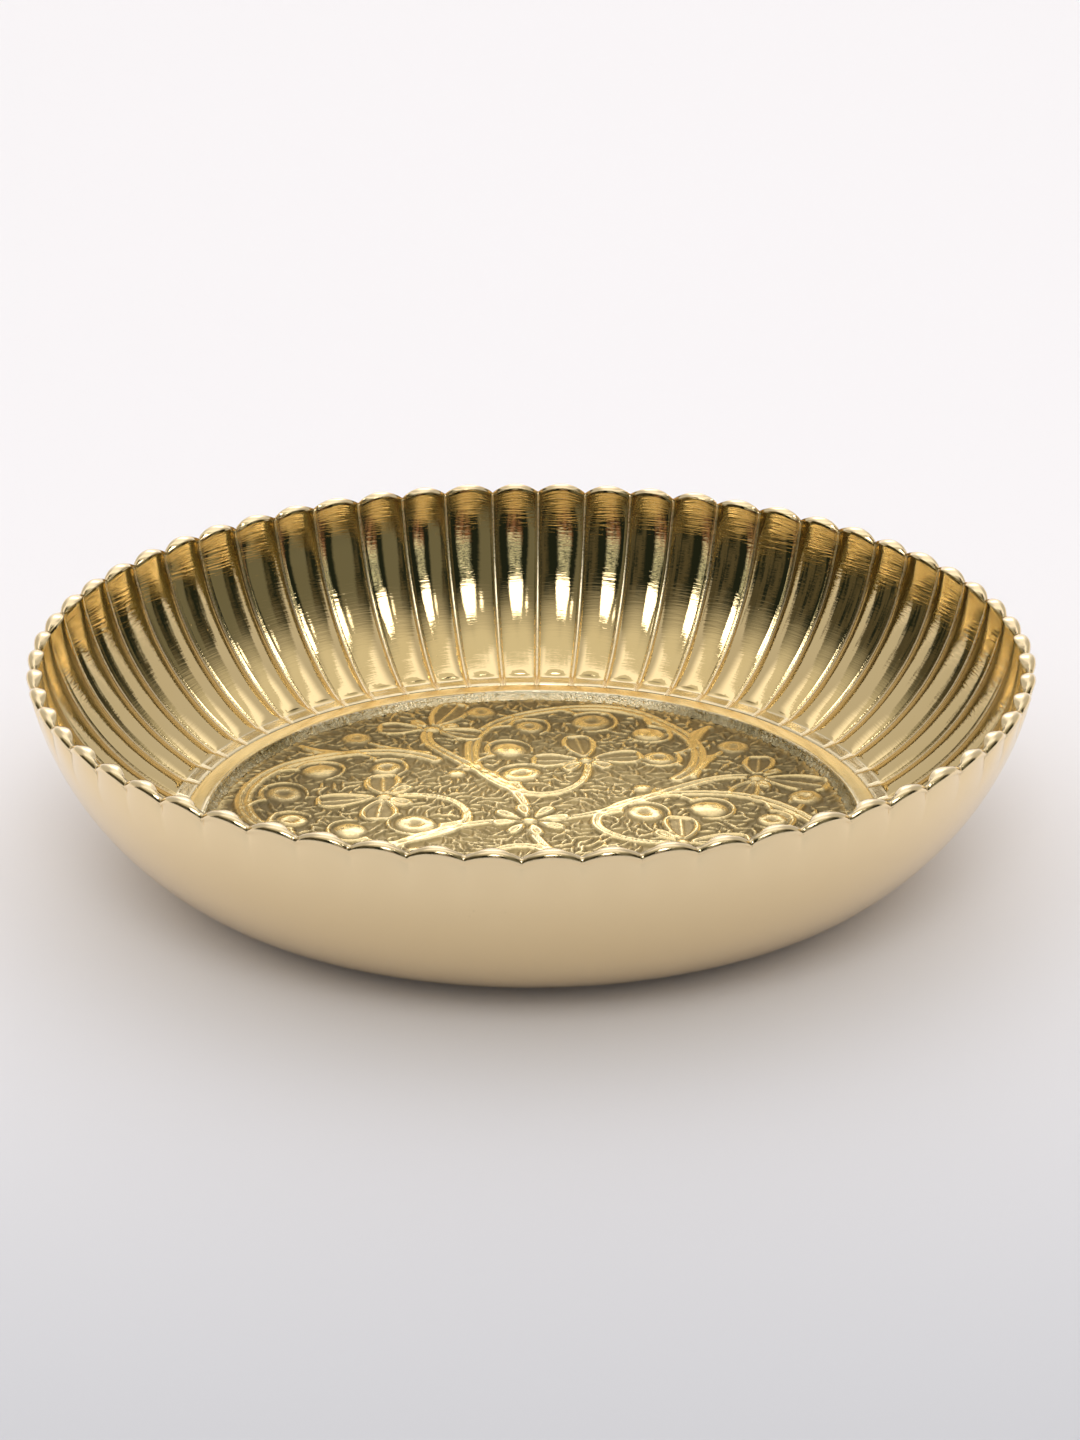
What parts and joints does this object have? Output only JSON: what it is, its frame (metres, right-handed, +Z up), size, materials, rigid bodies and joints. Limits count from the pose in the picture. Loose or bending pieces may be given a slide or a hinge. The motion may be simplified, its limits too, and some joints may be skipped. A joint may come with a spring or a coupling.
{
  "type": "lobed brass tray",
  "caption": "Shallow round brass tray with a lobed inside wall, a beaded scalloped rim and an embossed scroll-pattern floor framed by a flat turned ring.",
  "frame": {"origin": "centre of the resting plane, on the turning axis", "axes": "+Z up along the turning axis; X and Y pass through the middle of rim beads"},
  "size_m": [0.2, 0.2, 0.0425],
  "materials": {
    "polished_brass": "cast, turned outside, lobed and polished inside",
    "turned_brass": "turned and polished",
    "embossed_brass": "embossed relief, raised parts rubbed bright, dark patina in the ground",
    "solder": "soft solder, dull grey"
  },
  "bodies": {
    "root": {"lobed_bowl": "polished_brass", "floor_ring": "turned_brass", "floor_medallion": "embossed_brass", "solder_bed": "solder"}
  },
  "joints": []
}
